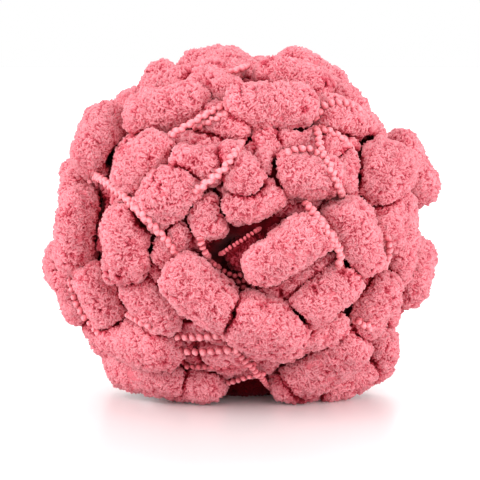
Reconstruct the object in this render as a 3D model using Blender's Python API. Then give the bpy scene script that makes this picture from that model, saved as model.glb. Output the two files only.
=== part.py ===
"""A ball of pom pom yarn: plump barrels of cut pile on a beaded cord, wound into one lumpy ball.

Everything is in metres, with +Z up. The ball rests on the plane z = 0, and its front, where the
middle of the winding shows as a dark hollow, faces -Y. The pompoms of the front are placed by
hand in POMPOMS. Those of the sides, back and underside are spread evenly, turned to follow the
winding and settled against them, over a second layer that shows in the gaps.
"""

import math

import bmesh
import bpy
import numpy as np
from mathutils import Vector

MM = 0.001

# The ball's outer shape, with its middle set so that its finished box stands over the origin,
# and how its front is sighted: from a little above and from this far away, so that what stands
# nearer is drawn in a little towards the middle.
BALL_WIDTH = 157 * MM
BALL_DEPTH = 150 * MM
BALL_HEIGHT = 151 * MM
BALL_MIDDLE_RIGHT = 0.5 * MM
BALL_MIDDLE_BACK = 1.5 * MM
BALL_MIDDLE_UP = 70.5 * MM
SIGHT_TILT = math.radians(6)
SIGHT_DISTANCE = 900 * MM

# The yarn's pompoms: their usual size, and how full their ends are.
POMPOM_LENGTH = 30 * MM
POMPOM_THICK = 18.5 * MM
END_FULLNESS = 2.7

# The layers: how deep the middles of the pompoms lie, how many would cover the whole ball, and
# how deep the solid winding under them starts.
OUTER_SUNK = 9.5 * MM
OUTER_COUNT = 122
INNER_SUNK = 21 * MM
INNER_COUNT = 92
CORE_SUNK = 24 * MM
PRESS = 0.8 * MM
FRONT_REACH = -12 * MM

# The hollow at the middle of the winding.
HOLLOW_RIGHT = -2 * MM
HOLLOW_UP = -15 * MM
HOLLOW_REACH = 12 * MM
HOLLOW_EXTRA = 16 * MM

# How finely the pompoms are grown together, and how many triangles the finished skin has.
VOXEL = 1.0 * MM
SKIN_TRIANGLES = 10500

BALL_RADII = np.array([BALL_WIDTH, BALL_DEPTH, BALL_HEIGHT]) / 2
BALL_MIDDLE = np.array([BALL_MIDDLE_RIGHT, BALL_MIDDLE_BACK, BALL_MIDDLE_UP])
SIGHT_RIGHT = np.array([1.0, 0.0, 0.0])
SIGHT_UP = np.array([0.0, math.sin(SIGHT_TILT), math.cos(SIGHT_TILT)])
SIGHT_TOWARD = np.array([0.0, -math.cos(SIGHT_TILT), math.sin(SIGHT_TILT)])

# Pompoms that the front shows, in millimetres and degrees. right and up are measured from the
# ball's middle, and like length and thick they are sizes as sighted, at the middle's distance.
# turn is the pompom's slant from level, anticlockwise, lean tips its right end towards the front,
# and proud is how far it stands out of the even layer.
COLUMNS = ("right", "up", "turn", "lean", "proud", "length", "thick")
POMPOMS = (
    # Top rim and crown
    (-11, 65, 0, 0, -20, 27, 18),
    (-3, 63, -35, 0, -20, 26, 18),
    (-13, 60, 2, 0, -9, 30, 17),
    (-29, 55, 22, 0, -5, 27, 18),
    (-11, 56, -16, 0, -2, 26, 17),
    (29, 62, -28, 0, -15, 31, 17),
    (21, 58, -20, 0, 0, 33, 18),
    (40, 50, -42, 0, -5, 26, 17),
    (47, 42, -52, 0, -14, 30, 17),
    # Upper left
    (-30, 47, 14, 0, 2, 35, 20),
    (-48, 45, 45, 0, -17, 26, 17),
    (-57, 35, 70, 0, 11, 32, 20),
    (-39, 25, 52, 0, 3, 29, 19),
    (-30, 11, 42, 0, 2, 32, 20),
    (-66, 17, 80, 0, -12, 26, 17),
    # Upper middle
    (13, 48, -3, 0, 4, 36, 20),
    (-7, 40, -15, 0, -6, 26, 17),
    (-16, 25, -8, 0, 2, 26, 18),
    (-1, 22, -50, 0, 3, 25, 16),
    (10, 29, 82, -20, -3, 24, 13),
    (22, 33, -10, 0, -7, 26, 15),
    (5, 10, 22, 0, -3, 26, 17),
    (-14, 3, 105, 0, -4, 18, 15),
    # Upper right
    (43, 41, -25, 0, 1, 30, 19),
    (27, 21, -8, 0, 2, 29, 19),
    (38, 31, 10, 0, -6, 24, 15),
    (42, 21, 80, 0, -5, 24, 15),
    (57, 21, 60, 35, 3, 30, 27),
    (59, 4, 75, 0, 0, 30, 20),
    (69, 24, -65, 0, -12, 32, 19),
    (46, -5, -66, 0, 3, 34, 21),
    (64, -9, 85, 0, -3, 32, 17),
    (64, 2, 80, 0, -12, 28, 16),
    (69, -19, 78, 0, -8, 30, 20),
    # Left flank
    (-66, -2, 82, 0, 2, 37, 20),
    (-46, -7, 88, 0, 4, 34, 21),
    (-72, -15, 70, 0, -12, 25, 18),
    (-68, -29, -68, 0, -6, 26, 16),
    (-56, -30, -60, 0, 0, 28, 20),
    (-35, -31, -45, 0, -3, 30, 19),
    (-56, -42, -52, 0, -8, 28, 16),
    (-48, -52, 60, 0, -13, 22, 15),
    (-28, -7, 60, 0, -6, 24, 16),
    (-34, -17, 82, 0, -9, 28, 17),
    # Deep in the hollow
    (7, -8, 35, 0, -16, 28, 16),
    (-1, -25, -28, 0, -22, 28, 17),
    # Lower middle
    (-16, -28, -42, 0, 4, 36, 22),
    (10, -41, -18, 0, 5, 36, 23),
    (-10, -54, 2, 0, -15, 30, 15),
    # Lower right
    (19, -10, 33, 0, 4, 38, 20),
    (26, -21, 35, 0, -8, 28, 17),
    (34, -28, 38, 0, 1, 31, 21),
    (53, -33, 62, 0, 0, 31, 19),
    (54, -42, 58, 0, -10, 30, 17),
    (31, -43, 20, 0, -7, 26, 17),
    (34, -55, 38, 0, 3, 42, 23),
    (53, -54, 58, 0, -6, 29, 19),
    (42, -62, 25, 0, 2, 29, 17),
    (26, -65, 3, 0, 9, 32, 16),
    # Lower left
    (-40, -47, -8, 0, 3, 37, 21),
    (-38, -60, -8, 0, 7, 41, 18),
    (-20, -64, -5, 0, 13, 27, 16),
    # Behind the gap under the ball
    (2, -64, 3, 0, -24, 30, 17),
)


def unit(vector):
    return vector / np.linalg.norm(vector)


def outward(point):
    """The way straight out of the ball at a point."""
    return unit((point - BALL_MIDDLE) / BALL_RADII**2)


def sighted(right, up, sunk):
    """A point of the front given by where it is sighted, sunk below the ball's surface."""
    across = right / (BALL_RADII[0] - sunk)
    along = up / (BALL_RADII[2] - sunk)
    toward = (BALL_RADII[1] - sunk) * math.sqrt(max(0.0, 1 - across**2 - along**2))
    nearer = 1 - toward / SIGHT_DISTANCE
    return BALL_MIDDLE + (SIGHT_RIGHT * right + SIGHT_UP * up) * nearer + SIGHT_TOWARD * toward


def front_pompoms():
    """The hand-placed pompoms: (middle, axis, length, thickness) of each."""
    placed = []
    for row in POMPOMS:
        pom = dict(zip(COLUMNS, row))
        middle = sighted(pom["right"] * MM, pom["up"] * MM, OUTER_SUNK) + SIGHT_TOWARD * pom["proud"] * MM
        nearer = 1 - float((middle - BALL_MIDDLE) @ SIGHT_TOWARD) / SIGHT_DISTANCE
        thick = pom["thick"] * MM * nearer
        middle[2] = max(middle[2], thick / 2 - PRESS)
        turn = math.radians(pom["turn"])
        level = SIGHT_RIGHT * math.cos(turn) + SIGHT_UP * math.sin(turn)
        out = outward(middle)
        follow = -float(out @ level) / max(0.35, float(out @ SIGHT_TOWARD))
        lean = math.tan(math.radians(pom["lean"]))
        axis = unit(level + SIGHT_TOWARD * (max(-0.8, min(0.8, follow)) + lean))
        placed.append((middle, axis, pom["length"] * MM * nearer, thick))
    return placed


def winding_way(point):
    """The way that the yarn runs over the ball at a point: in smoothly wandering bands."""
    x, y, z = (point - BALL_MIDDLE) / BALL_RADII
    wander = np.array([
        math.sin(2.3 * y + 0.4) + 0.3,
        math.cos(2.7 * z - 0.8),
        math.sin(2.1 * x + 1.9) + 0.5 * y,
    ])
    return unit(np.cross(outward(point), wander))


def golden_spiral(count):
    """Directions spread evenly over a sphere."""
    steps = np.arange(count) + 0.5
    rise = 1 - 2 * steps / count
    turn = steps * math.pi * (3 - math.sqrt(5))
    ring = np.sqrt(1 - rise**2)
    return np.stack([ring * np.cos(turn), ring * np.sin(turn), rise], axis=1)


def beads_of(placed):
    """Three points along each pompom, as one array, and how far each may reach."""
    points, reach = [], []
    for middle, axis, length, thick in placed:
        arm = (length - thick) / 2
        points += [middle - axis * arm, middle, middle + axis * arm]
        reach += [thick / 2] * 3
    return np.array(points), np.array(reach)


def on_layer(point, sunk, thick):
    """The point moved to its layer, and up to the ground where it would lie lower."""
    way = point - BALL_MIDDLE
    point = BALL_MIDDLE + way / np.linalg.norm(way / (BALL_RADII - sunk))
    point[2] = max(point[2], sunk - OUTER_SUNK + thick / 2 - PRESS)
    return point


def settled_layer(count, sunk, fixed, clear, rng, rounds=50):
    """Pompoms spread over a layer, clear of the fixed ones, that push each other into place."""
    fixed_beads, fixed_reach = beads_of(fixed) if fixed else (np.zeros((0, 3)), np.zeros(0))
    placed = []
    for way in golden_spiral(count):
        length = POMPOM_LENGTH * rng.uniform(0.92, 1.16)
        thick = POMPOM_THICK * rng.uniform(0.92, 1.10)
        jitter = rng.normal(0, 0.45)
        depth = sunk + rng.uniform(-2.5, 2.5) * MM
        middle = on_layer(BALL_MIDDLE + way * BALL_RADII, depth, thick)
        if len(fixed_beads) and np.linalg.norm(fixed_beads - middle, axis=1).min() < clear:
            continue
        along = winding_way(middle)
        across = np.cross(outward(middle), along)
        axis = unit(along * math.cos(jitter) + across * math.sin(jitter))
        placed.append([middle, axis, length, thick, depth])
    for _ in range(rounds):
        beads, reach = beads_of([pom[:4] for pom in placed])
        everything = np.vstack([beads, fixed_beads])
        all_reach = np.concatenate([reach, fixed_reach])
        gaps = beads[:, None, :] - everything[None, :, :]
        far = np.linalg.norm(gaps, axis=2)
        near = (reach[:, None] + all_reach[None, :]) * 0.95 - far
        own = np.arange(len(beads)) // 3
        near[own[:, None] == np.concatenate([own, np.full(len(fixed_beads), -1)])[None, :]] = 0
        push = (gaps / np.maximum(far, 1e-9)[:, :, None] * np.maximum(near, 0)[:, :, None]).sum(axis=1) * 0.2
        for index, pom in enumerate(placed):
            low, mid, high = push[3 * index:3 * index + 3]
            arm = (pom[2] - pom[3]) / 2
            pom[0] = on_layer(pom[0] + (low + mid + high) / 2, pom[4], pom[3])
            turned = pom[1] + (high - low) / (2 * arm) * 0.5
            out = outward(pom[0])
            pom[1] = unit(turned - out * (turned @ out))
    return [tuple(pom[:4]) for pom in placed]


def in_hollow(point):
    """How far into the hollow at the middle of the winding a point lies, from 0 to 1."""
    way = point - BALL_MIDDLE
    if way @ SIGHT_TOWARD < 0:
        return 0.0
    aside = math.hypot(way @ SIGHT_RIGHT - HOLLOW_RIGHT, way @ SIGHT_UP - HOLLOW_UP)
    return max(0.0, 1 - aside / HOLLOW_REACH)


def all_pompoms():
    """(outer, inner): every pompom of the ball, in its two layers."""
    rng = np.random.default_rng(7)
    front = front_pompoms()
    rest = settled_layer(OUTER_COUNT, OUTER_SUNK, front, 15.5 * MM, rng)
    rest = [pom for pom in rest if (pom[0] - BALL_MIDDLE) @ SIGHT_TOWARD < FRONT_REACH]
    inner = settled_layer(INNER_COUNT, INNER_SUNK, [], 0, rng)
    inner = [pom for pom in inner if in_hollow(pom[0]) == 0]
    return front + rest, inner


def ball_mesh(kind, **settings):
    """The points and faces of a ball of radius 1 made by one of the bmesh operators."""
    bm = bmesh.new()
    getattr(bmesh.ops, kind)(bm, radius=1.0, **settings)
    points = np.array([vert.co for vert in bm.verts])
    faces = [[vert.index for vert in face.verts] for face in bm.faces]
    bm.free()
    return points, faces


def pompom_points(ball, middle, axis, length, thick):
    """A ball's points drawn out to a barrel with full, rounded ends."""
    fullness = 2 / END_FULLNESS
    side = np.hypot(ball[:, 0], ball[:, 1])
    width = side**fullness / np.maximum(side, 1e-9) * thick / 2
    rise = np.sign(ball[:, 2]) * np.abs(ball[:, 2]) ** fullness * length / 2
    turn = np.array(Vector(axis).to_track_quat("Z", "Y").to_matrix())
    return middle + np.stack([ball[:, 0] * width, ball[:, 1] * width, rise], axis=1) @ turn.T


def core_points(ball):
    """The solid winding inside, with its dent behind the hollow."""
    points = BALL_MIDDLE + ball * (BALL_RADII - CORE_SUNK)
    dents = [min(1.0, 2 * in_hollow(point)) * HOLLOW_EXTRA for point in points]
    return np.array([point - outward(point) * dent for point, dent in zip(points, dents)])


def joined_mesh(name, shapes):
    """One mesh of many (points, faces)."""
    points, faces, first = [], [], 0
    for shape, sides in shapes:
        points.append(shape)
        faces += [[first + corner for corner in side] for side in sides]
        first += len(shape)
    mesh = bpy.data.meshes.new(name)
    mesh.from_pydata(np.vstack(points).tolist(), [], faces)
    return mesh


def outer_skin(bm):
    """Deletes every shell but the largest."""
    unseen, shells = set(bm.verts), []
    while unseen:
        shell, edge = set(), [next(iter(unseen))]
        while edge:
            vert = edge.pop()
            if vert in unseen:
                unseen.discard(vert)
                shell.add(vert)
                edge += [link.other_vert(vert) for link in vert.link_edges]
        shells.append(shell)
    largest = max(shells, key=len)
    bmesh.ops.delete(bm, geom=[vert for vert in bm.verts if vert not in largest], context="VERTS")


def modified(thing, kind, **settings):
    """Applies one modifier to an object's mesh."""
    modifier = thing.modifiers.new(kind.title(), kind)
    for name, value in settings.items():
        setattr(modifier, name, value)
    finished = bpy.data.meshes.new_from_object(thing.evaluated_get(bpy.context.evaluated_depsgraph_get()))
    thing.modifiers.clear()
    thing.data = finished


def pile_material():
    material = bpy.data.materials.new("rose_pile")
    material.use_nodes = True
    surface = material.node_tree.nodes["Principled BSDF"]
    surface.inputs["Base Color"].default_value = (0.80, 0.20, 0.27, 1)
    surface.inputs["Roughness"].default_value = 0.95
    surface.inputs["Metallic"].default_value = 0.0
    return material


def yarn_ball():
    """The whole ball as one solid: its pompoms, grown together where they press on each other."""
    outer, inner = all_pompoms()
    barrel, sides = ball_mesh("create_uvsphere", u_segments=20, v_segments=14)
    shapes = [(pompom_points(barrel, *pompom), sides) for pompom in outer + inner]
    core, sides = ball_mesh("create_icosphere", subdivisions=5)
    shapes.append((core_points(core), sides))
    mesh = joined_mesh("yarn_ball", shapes)
    ball = bpy.data.objects.new("yarn_ball", mesh)
    bpy.context.scene.collection.objects.link(ball)
    modified(ball, "REMESH", mode="VOXEL", voxel_size=VOXEL)
    bm = bmesh.new()
    bm.from_mesh(ball.data)
    outer_skin(bm)
    bm.to_mesh(ball.data)
    full = sum(len(face.verts) - 2 for face in bm.faces)
    bm.free()
    modified(ball, "DECIMATE", decimate_type="COLLAPSE", ratio=SKIN_TRIANGLES / full, use_collapse_triangulate=True)
    bm = bmesh.new()
    bm.from_mesh(ball.data)
    cut = bmesh.ops.bisect_plane(
        bm, geom=bm.verts[:] + bm.edges[:] + bm.faces[:], dist=1e-6,
        plane_co=(0, 0, 0), plane_no=(0, 0, -1), clear_outer=True)
    rims = [item for item in cut["geom_cut"] if isinstance(item, bmesh.types.BMEdge)]
    bmesh.ops.holes_fill(bm, edges=rims, sides=0)
    bmesh.ops.triangulate(bm, faces=[face for face in bm.faces if len(face.verts) > 3])
    bm.to_mesh(ball.data)
    bm.free()
    ball.data.materials.clear()
    ball.data.materials.append(pile_material())
    ball.data.shade_smooth()
    return ball


for leftover in list(bpy.data.objects):
    bpy.data.objects.remove(leftover)
yarn_ball()
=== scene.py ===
"""The looks of a ball of pom pom yarn: brushed barrels of pile and a beaded cord, wound together.

The pompoms lie where the solid has them, worked out from the same sizes, table and even spread.
Each is a lumpy skin with small locks of pile standing on it, so that edges are rough and the
gaps between locks are real. Everything is in metres, with +Z up and the front towards -Y.
"""

import math

import bmesh
import bpy
import numpy as np
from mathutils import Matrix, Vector
from mathutils.bvhtree import BVHTree


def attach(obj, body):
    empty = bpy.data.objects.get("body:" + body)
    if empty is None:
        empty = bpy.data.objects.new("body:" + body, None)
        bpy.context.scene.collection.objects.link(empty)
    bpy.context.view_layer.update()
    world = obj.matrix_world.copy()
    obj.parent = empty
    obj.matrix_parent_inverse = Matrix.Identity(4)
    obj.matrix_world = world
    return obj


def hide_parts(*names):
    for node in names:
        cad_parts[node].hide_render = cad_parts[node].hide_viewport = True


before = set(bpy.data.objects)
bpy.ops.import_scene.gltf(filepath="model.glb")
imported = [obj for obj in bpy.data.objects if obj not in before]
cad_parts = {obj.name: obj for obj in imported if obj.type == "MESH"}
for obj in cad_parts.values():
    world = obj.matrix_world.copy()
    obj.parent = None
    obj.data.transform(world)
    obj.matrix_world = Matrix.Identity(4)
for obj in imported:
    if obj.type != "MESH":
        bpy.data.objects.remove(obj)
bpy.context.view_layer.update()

MM = 0.001

# The ball's outer shape, and how its front is sighted.
BALL_WIDTH = 157 * MM
BALL_DEPTH = 150 * MM
BALL_HEIGHT = 151 * MM
BALL_MIDDLE_RIGHT = 0.5 * MM
BALL_MIDDLE_BACK = 1.5 * MM
BALL_MIDDLE_UP = 70.5 * MM
SIGHT_TILT = math.radians(6)
SIGHT_DISTANCE = 900 * MM

# The pompoms: their usual size, how square their cut ends are, and how steeply those of the front
# may follow the ball's curve back.
POMPOM_LENGTH = 30 * MM
POMPOM_THICK = 18.5 * MM
END_FULLNESS = 3.3
STEEPEST = 0.8
EDGE_ON = 0.35

# The layers: how deep the middles of the pompoms lie, how many would cover the whole ball, and
# how deep the core starts.
OUTER_SUNK = 9.5 * MM
OUTER_COUNT = 122
INNER_SUNK = 21 * MM
INNER_COUNT = 92
CORE_SUNK = 24 * MM
PRESS = 0.8 * MM
FRONT_REACH = -12 * MM
# The back's pieces start at this share of the way from the ball's middle to its back.
BACK_FROM = 0.35

# The pompoms that settle against each other round the sides and back: how clear they start of the
# front ones, how far their sizes, turns and depths spread, and how they push and turn each other.
FRONT_CLEARANCE = 15.5 * MM
LENGTH_SPREAD = (0.92, 1.16)
THICK_SPREAD = (0.92, 1.10)
TURN_SPREAD = 0.45
DEPTH_SPREAD = 2.5 * MM
PUSH_ROUNDS = 50
PUSH_WITHIN = 0.95
PUSH_SHARE = 0.2
TURN_SHARE = 0.5

# The hollow at the middle of the winding.
HOLLOW_RIGHT = -2 * MM
HOLLOW_UP = -15 * MM
HOLLOW_REACH = 12 * MM
HOLLOW_EXTRA = 16 * MM

# Pile that can't be seen from outside is left out. These are the lines of sight tried from each
# spot: how far each is turned round the straight way out, and how far it slants from it.
SIGHT_LINES = (
    (0, 0),
    (0, 0.6), (2.1, 0.6), (4.2, 0.6),
    (1, 1.1), (2.6, 1.1), (4.1, 1.1), (5.7, 1.1),
)
SIGHT_CLEARANCE = 1.2 * MM
SHELL_CUTS = 5
HIDDEN_SKIN = 1.2 * MM
HIDDEN_LOCK = 0.4 * MM
NEIGHBOUR_REACH = 46 * MM

# The pile: the skin that it stands on, and the locks that its fibres gather in. LOCK_TOP is what
# the top of a block is scaled by to make it a lock: half as long, and narrowed to a ridge.
SKIN_CUTS = 8
SPOT_CUTS = 24
# Painted shade: SKIN_LIGHT and ROOT_LIGHT colour the skin and the roots of the locks darker than the
# lock tops, for the shade down in the pile.
SKIN_LIGHT = 0.5
ROOT_LIGHT = 0.15
SKIN_SUNK = 0.45 * MM
INNER_COARSE = 1.45
LOCK_AREA = 0.74 * MM * MM
LOCK_LONG = 2.5 * MM
LOCK_WIDE = 1.45 * MM
LOCK_TALL = 1.15 * MM
LOCK_ROOT = 0.8 * MM
LOCK_TOP = (0.5, 0, 1)
LOCK_STRAY = 1.2
LOCK_BEND = 0.25
LOCK_LONG_SPREAD = (0.6, 1.4)
LOCK_WIDE_SPREAD = (0.75, 1.25)
LOCK_TALL_SPREAD = (0.3, 1.0)
LOCK_LIGHT_SPREAD = (0.75, 1.0)
LOCK_SOFTNESS = 0.5

# The pile's relief: the uneven form of each pompom, and the clumps and tufts that its surface parts
# into. A SHIFT is how far a relief moves on from one pompom to the next, so that no two are alike.
FORM_RISE = 0.6 * MM
FORM_SHIFT = 1.7
CLUMP_RISE = 0.9 * MM
CLUMP_SHIFT = 0.9
TUFT_RISE = 0.6 * MM
TUFT_SHIFT = 1.3
FURROW_CAP = 1.6
FURROW_ROUND = 0.7
FURROW_LEVEL = 0.75
PILE_SETTLE = 0.35 * MM
INNER_SETTLE = 1.2 * MM
CREASE_DEPTH = 0.8 * MM
CREASE_REACH = 1.8 * MM

# The cracks: the furrows between clumps that open down to the roots, in some places only.
CRACK_SHIFT = 1.1
CRACK_SHARE = 0.24
CRACK_OPEN = 0.3
CRACK_OPENING = 1.5
CRACK_DEPTH = 1.5 * MM
CRACK_BARE = 0.6
# Painted shade in the cracks: the pile there is coloured darker by up to this share.
CRACK_SHADE = 0.95

# Painted shade in the pile's furrows: each pair is the share of lightness left in a furrow, and how
# fast it rises out of it.
TUFT_LIGHT = (0.5, 1.3)
CLUMP_LIGHT = (0.64, 0.9)
# Where little light comes: in the gaps between pompoms, deep in the ball, and in under it.
GAP_SHADE = 0.85
GAP_SHADE_REACH = 2.0 * MM
DEEP_SHADE = 0.88
DEEP_FROM = 13 * MM
DEEP_TO = 21 * MM
UNDER_BACK = 16 * MM
UNDER_REACH = 34 * MM
UNDER_EDGE = 0.2 * UNDER_REACH
UNDER_HIGH = 12 * MM
UNDER_FADE = 0.4 * UNDER_HIGH

# The winding inside, which shows at the bottom of the deepest gaps. It is painted nearly black, as
# painted shade, darkest in the furrows of its pile.
WINDING_SUNK = 17 * MM
CORE_ROUNDNESS = 6
CORE_LUMPS = 1.8 * MM
CORE_TOP = 1.4
CORE_LIGHT = 0.06

# The colours that the fibre's painted light and shade turn into, from the darkest painted shade at
# the roots of the pile, deep in gaps, or between the knots, to the lit tips: each for how light the
# spot is painted.
PILE_SHADE_TONES = (
    (0.0, "#3C060C"),
    (0.14, "#8E0F20"),
    (0.3, "#CC4658"),
    (0.65, "#F08D98"),
    (1.0, "#FFB0B8"),
)
CHAIN_SHADE_TONES = ((0.0, "#7E0F18"), (0.5, "#DC6A76"), (1.0, "#FBA4AC"))
SHEEN_TINT = "#FF8E98"
DYE_PATCH = 14 * MM

# The photograph: its size, what a pixel of it spans at the ball, and where the ball's middle is.
PHOTO_PIXELS = 480
PIXEL_SIZE = 0.41 * MM
BALL_COLUMN = 241
BALL_ROW = 225

# The studio's lights: name, the way that it comes from, strength, and how wide it is in degrees.
LIGHTS = (
    ("front", (0.1, -1.0, 0.5), 0.35, 40),
    ("left", (-1.0, -0.4, 0.5), 1.9, 50),
    ("right", (1.0, -0.5, 0.2), 2.0, 50),
    ("back", (0.1, 1.0, 0.9), 1.2, 40),
)

# How the cord lies: over what is under it, pulled tight, with its ends dipping into the gaps.
CORD_STEP = 1.3 * MM
CORD_PROUD = 1.3 * MM
CORD_DIVE = 11 * MM
CORD_SLACK = 8 * MM
CORD_ROUND = 5
END_DIVE = 5 * MM
END_REACH = 3 * MM
# Away from the front it runs from gap to gap between the pompoms.
GAP_PLACES = 1100
GAP_DEPTH = 7 * MM
GAP_REACH = 9 * MM
CORD_SPAN = 30 * MM
CORD_SPAN_SPREAD = 10 * MM

# The cord's knots: long and slanted where two plies are twisted together, which show in turn, and
# round as pearls where one ply shows. The pitch of pearls is a share of their length.
KNOT_THICK = 2.5 * MM
KNOT_LONG = 3.5 * MM
KNOT_SPREAD = (0.92, 1.08)
KNOT_PITCH = 1.75 * MM
KNOT_SLANT = math.radians(38)
KNOT_STRAY = 0.15
KNOT_ROUGH = 0.1
PLY_OFFSET = 0.48 * MM
PLY_SPREAD = (0.75, 1.15)
PEARL_THICK = 2.9 * MM
PEARL_SPREAD = (0.9, 1.08)
PEARL_PITCH = 1.13
KNOT_ROUNDNESS = 2
# The painted light and shade of the knots: darker towards their ends and undersides and lighter on
# their tops, and darker where pearls lie deep, for each millimetre below the depth that is still open.
KNOT_SHADE = 0.6
KNOT_OPEN = 0.6
KNOT_TOP = 0.5
KNOT_LEAST = 0.1
PEARL_OPEN = 6.5
PEARL_SHADE = 0.13
PEARL_LEAST = 0.25

BALL_RADII = np.array([BALL_WIDTH, BALL_DEPTH, BALL_HEIGHT]) / 2
BALL_MIDDLE = np.array([BALL_MIDDLE_RIGHT, BALL_MIDDLE_BACK, BALL_MIDDLE_UP])
SIGHT_RIGHT = np.array([1.0, 0.0, 0.0])
SIGHT_UP = np.array([0.0, math.sin(SIGHT_TILT), math.cos(SIGHT_TILT)])
SIGHT_TOWARD = np.array([0.0, -math.cos(SIGHT_TILT), math.sin(SIGHT_TILT)])

# Pompoms that the front shows, in millimetres and degrees. right and up are measured from the
# ball's middle, and like length and thick they are sizes as sighted, at the middle's distance.
# turn is the pompom's slant from level, anticlockwise, lean tips its right end towards the front,
# and proud is how far it stands out of the even layer.
COLUMNS = ("right", "up", "turn", "lean", "proud", "length", "thick")
POMPOMS = (
    # Top rim and crown
    (-11, 65, 0, 0, -20, 27, 18),
    (-3, 63, -35, 0, -20, 26, 18),
    (-13, 60, 2, 0, -9, 30, 17),
    (-29, 55, 22, 0, -5, 27, 18),
    (-11, 56, -16, 0, -2, 26, 17),
    (29, 62, -28, 0, -15, 31, 17),
    (21, 58, -20, 0, 0, 33, 18),
    (40, 50, -42, 0, -5, 26, 17),
    (47, 42, -52, 0, -14, 30, 17),
    # Upper left
    (-30, 47, 14, 0, 2, 35, 20),
    (-48, 45, 45, 0, -17, 26, 17),
    (-57, 35, 70, 0, 11, 32, 20),
    (-39, 25, 52, 0, 3, 29, 19),
    (-30, 11, 42, 0, 2, 32, 20),
    (-66, 17, 80, 0, -12, 26, 17),
    # Upper middle
    (13, 48, -3, 0, 4, 36, 20),
    (-7, 40, -15, 0, -6, 26, 17),
    (-16, 25, -8, 0, 2, 26, 18),
    (-1, 22, -50, 0, 3, 25, 16),
    (10, 29, 82, -20, -3, 24, 13),
    (22, 33, -10, 0, -7, 26, 15),
    (5, 10, 22, 0, -3, 26, 17),
    (-14, 3, 105, 0, -4, 18, 15),
    # Upper right
    (43, 41, -25, 0, 1, 30, 19),
    (27, 21, -8, 0, 2, 29, 19),
    (38, 31, 10, 0, -6, 24, 15),
    (42, 21, 80, 0, -5, 24, 15),
    (57, 21, 60, 35, 3, 30, 27),
    (59, 4, 75, 0, 0, 30, 20),
    (69, 24, -65, 0, -12, 32, 19),
    (46, -5, -66, 0, 3, 34, 21),
    (64, -9, 85, 0, -3, 32, 17),
    (64, 2, 80, 0, -12, 28, 16),
    (69, -19, 78, 0, -8, 30, 20),
    # Left flank
    (-66, -2, 82, 0, 2, 37, 20),
    (-46, -7, 88, 0, 4, 34, 21),
    (-72, -15, 70, 0, -12, 25, 18),
    (-68, -29, -68, 0, -6, 26, 16),
    (-56, -30, -60, 0, 0, 28, 20),
    (-35, -31, -45, 0, -3, 30, 19),
    (-56, -42, -52, 0, -8, 28, 16),
    (-48, -52, 60, 0, -13, 22, 15),
    (-28, -7, 60, 0, -6, 24, 16),
    (-34, -17, 82, 0, -9, 28, 17),
    # Deep in the hollow
    (7, -8, 35, 0, -16, 28, 16),
    (-1, -25, -28, 0, -22, 28, 17),
    # Lower middle
    (-16, -28, -42, 0, 4, 36, 22),
    (10, -41, -18, 0, 5, 36, 23),
    (-10, -54, 2, 0, -15, 30, 15),
    # Lower right
    (19, -10, 33, 0, 4, 38, 20),
    (26, -21, 35, 0, -8, 28, 17),
    (34, -28, 38, 0, 1, 31, 21),
    (53, -33, 62, 0, 0, 31, 19),
    (54, -42, 58, 0, -10, 30, 17),
    (31, -43, 20, 0, -7, 26, 17),
    (34, -55, 38, 0, 3, 42, 23),
    (53, -54, 58, 0, -6, 29, 19),
    (42, -62, 25, 0, 2, 29, 17),
    (26, -65, 3, 0, 9, 32, 16),
    # Lower left
    (-40, -47, -8, 0, 3, 37, 21),
    (-38, -60, -8, 0, 7, 41, 18),
    (-20, -64, -5, 0, 13, 27, 16),
    # Behind the gap under the ball
    (2, -64, 3, 0, -24, 30, 17),
)

# Runs of the cord that the front shows: the places that each passes over, (right, up) as above.
# These are twisted, and lie on the pompoms.
TWISTED_RUNS = (
    # Left and upper left
    ((-60, 20), (-56, 18), (-47.5, 11), (-37.5, 1), (-31, -5.5), (-25.5, -13)),
    ((-30, 36), (-15, 45), (-6, 50)),
    ((-19, 40), (-5, 46)),
    ((-6, 62), (2, 65)),
    ((0, 34), (-7, 23), (-13, 18), (-20, 13)),
    # Upper right
    ((31, 40), (32, 35), (33, 30), (36, 25), (39, 18), (42, 11)),
    ((32, 40), (37, 38), (41, 36), (46, 31)),
    ((26, 10), (30, 5), (34, 0), (38, -6), (41, -12), (40, -18)),
    # Lower right
    ((47, -39), (55, -43)),
)
# These are pearls, and lie on the pompoms too.
LAID_PEARLS = (
    ((16, 28), (22, 31), (28, 31.5), (34, 28)),
    ((-70, -23), (-68, -31), (-64, -38), (-57, -46)),
    ((-46, -37), (-41, -40), (-34, -43)),
    ((30, 43), (35, 50), (44, 50), (50, 46)),
    ((60, -4), (61, -10), (59, -17)),
)
# These are flat knots at the hollow, and lie on what is under them. The first three numbers are how
# light the knots are painted, from 0 to 1, lower as painted shade where they lie in the hollow, how
# thick, and how long.
FLAT_RUNS = (
    (0.85, 2.9, 1.8, (-17, -4), (-16, -9), (-13.5, -13)),
    (0.5, 1.9, 1.5, (-8.5, -12), (7.5, -1.5)),
    (0.5, 2.2, 2.0, (-12.5, -15), (-9, -17.5)),
)
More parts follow.
